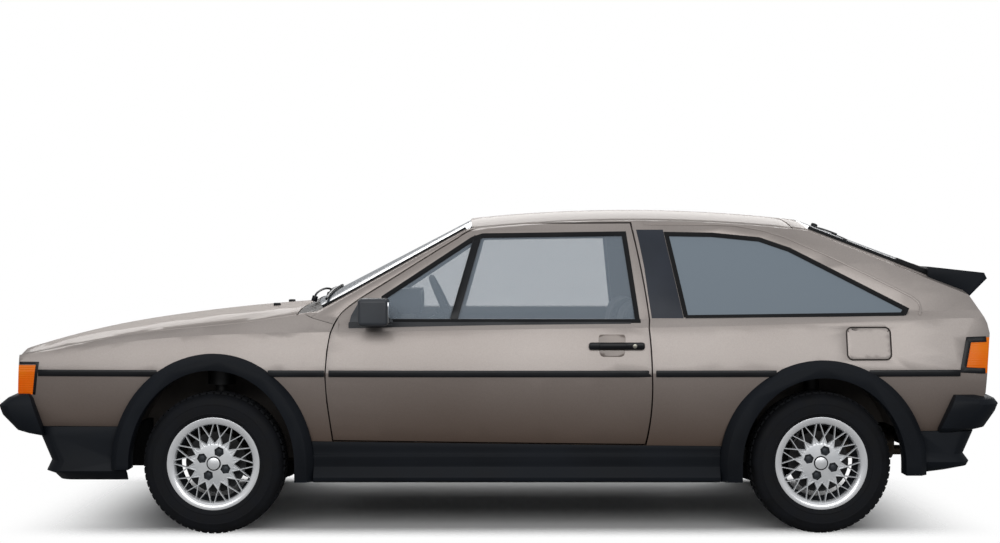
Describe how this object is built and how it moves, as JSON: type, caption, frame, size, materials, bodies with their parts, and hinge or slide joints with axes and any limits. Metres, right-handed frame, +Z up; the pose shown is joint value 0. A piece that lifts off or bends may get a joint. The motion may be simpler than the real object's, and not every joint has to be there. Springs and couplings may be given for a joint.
{
  "type": "hatchback coupe",
  "caption": "Low hatchback coupe with black arch flares, bumpers and skirts, opening doors, bonnet, hatch and fuel flap, and steered front wheels.",
  "frame": {"origin": "on the ground under the middle of the car's length and width", "axes": "+X towards the tail, +Y towards the car's right side, +Z up"},
  "size_m": [4.0496, 1.85, 1.3],
  "materials": {
    "paint": "metallic gloss",
    "body_inner": "satin",
    "glass": "clear tint",
    "black_plastic": "grained matte",
    "dark_plastic": "matte",
    "lamp_glass": "clear",
    "amber_lens": "gloss",
    "chassis_steel": "satin black",
    "cast_iron": "as cast",
    "exhaust_steel": "dull",
    "cloth": "woven",
    "alloy": "silver lacquer",
    "tyre": "matte rubber"
  },
  "bodies": {
    "body": {"side_frame_left": "paint", "side_frame_right": "paint", "roof": "paint", "wing_left": "paint", "wing_right": "paint", "cowl": "body_inner", "front_panel": "paint", "rear_panel": "paint", "floor_pan": "body_inner", "windscreen": "glass", "quarter_glass": "glass", "front_bumper": "black_plastic", "rear_bumper": "black_plastic", "front_apron": "black_plastic", "rear_apron": "black_plastic", "side_skirts": "black_plastic", "arch_flares": "black_plastic", "grille": "black_plastic", "headlamps": "lamp_glass", "indicators": "amber_lens", "tail_lamps": "amber_lens", "front_suspension": "chassis_steel", "rear_axle": "chassis_steel", "engine": "cast_iron", "exhaust": "exhaust_steel", "front_seats": "cloth", "rear_seat": "cloth", "facia": "dark_plastic"},
    "left_door": {"door_left": "paint", "door_glass_left": "glass", "mirror_left": "black_plastic"},
    "right_door": {"door_right": "paint", "door_glass_right": "glass", "mirror_right": "black_plastic"},
    "bonnet_lid": {"bonnet": "paint"},
    "tailgate": {"hatch": "paint", "hatch_glass": "glass", "rear_spoiler": "black_plastic"},
    "filler_flap": {"fuel_flap": "paint"},
    "steering": {"steering_wheel": "dark_plastic"},
    "left_knuckle": {"knuckle_left": "cast_iron"},
    "right_knuckle": {"knuckle_right": "cast_iron"},
    "front_left_wheel": {"rim_front_left": "alloy", "tyre_front_left": "tyre"},
    "front_right_wheel": {"rim_front_right": "alloy", "tyre_front_right": "tyre"},
    "rear_left_wheel": {"rim_rear_left": "alloy", "tyre_rear_left": "tyre"},
    "rear_right_wheel": {"rim_rear_right": "alloy", "tyre_rear_right": "tyre"}
  },
  "joints": [
    {"name": "left_door_hinge", "type": "hinge", "parent": "body", "child": "left_door", "pos_m": [-0.69, -0.812, 0.6], "axis": [0, 0, -1], "range_deg": [0, 65]},
    {"name": "right_door_hinge", "type": "hinge", "parent": "body", "child": "right_door", "pos_m": [-0.69, 0.812, 0.6], "axis": [0, 0, 1], "range_deg": [0, 65]},
    {"name": "bonnet_hinge", "type": "hinge", "parent": "body", "child": "bonnet_lid", "pos_m": [-0.806, 0, 0.921], "axis": [0, 1, 0], "range_deg": [0, 55]},
    {"name": "hatch_hinge", "type": "hinge", "parent": "body", "child": "tailgate", "pos_m": [1.196, 0, 1.268], "axis": [0, -1, 0], "range_deg": [0, 70]},
    {"name": "fuel_flap_hinge", "type": "hinge", "parent": "body", "child": "filler_flap", "pos_m": [1.369, -0.783, 0.692], "axis": [0, -0.231, -0.973], "range_deg": [0, 90]},
    {"name": "steer_left", "type": "hinge", "parent": "body", "child": "left_knuckle", "pos_m": [-1.13, -0.585, 0.28], "axis": [0, 0, 1], "range_deg": [-35, 35]},
    {"name": "steer_right", "type": "hinge", "parent": "body", "child": "right_knuckle", "pos_m": [-1.13, 0.585, 0.28], "axis": [0, 0, 1], "range_deg": [-35, 35]},
    {"name": "steering_column", "type": "hinge", "parent": "body", "child": "steering", "pos_m": [-0.215, -0.34, 0.85], "axis": [0.9063, 0, 0.4226], "range_deg": [-600, 600]},
    {"name": "front_left_spin", "type": "hinge", "parent": "left_knuckle", "child": "front_left_wheel", "pos_m": [-1.13, -0.702, 0.28], "axis": [0, 1, 0], "continuous": true},
    {"name": "front_right_spin", "type": "hinge", "parent": "right_knuckle", "child": "front_right_wheel", "pos_m": [-1.13, 0.702, 0.28], "axis": [0, 1, 0], "continuous": true},
    {"name": "rear_left_spin", "type": "hinge", "parent": "body", "child": "rear_left_wheel", "pos_m": [1.27, -0.686, 0.28], "axis": [0, 1, 0], "continuous": true},
    {"name": "rear_right_spin", "type": "hinge", "parent": "body", "child": "rear_right_wheel", "pos_m": [1.27, 0.686, 0.28], "axis": [0, 1, 0], "continuous": true}
  ],
  "couplings": [
    {"joint": "steer_right", "follows": "steer_left", "ratio": 1},
    {"joint": "steering_column", "follows": "steer_left", "ratio": 17}
  ]
}
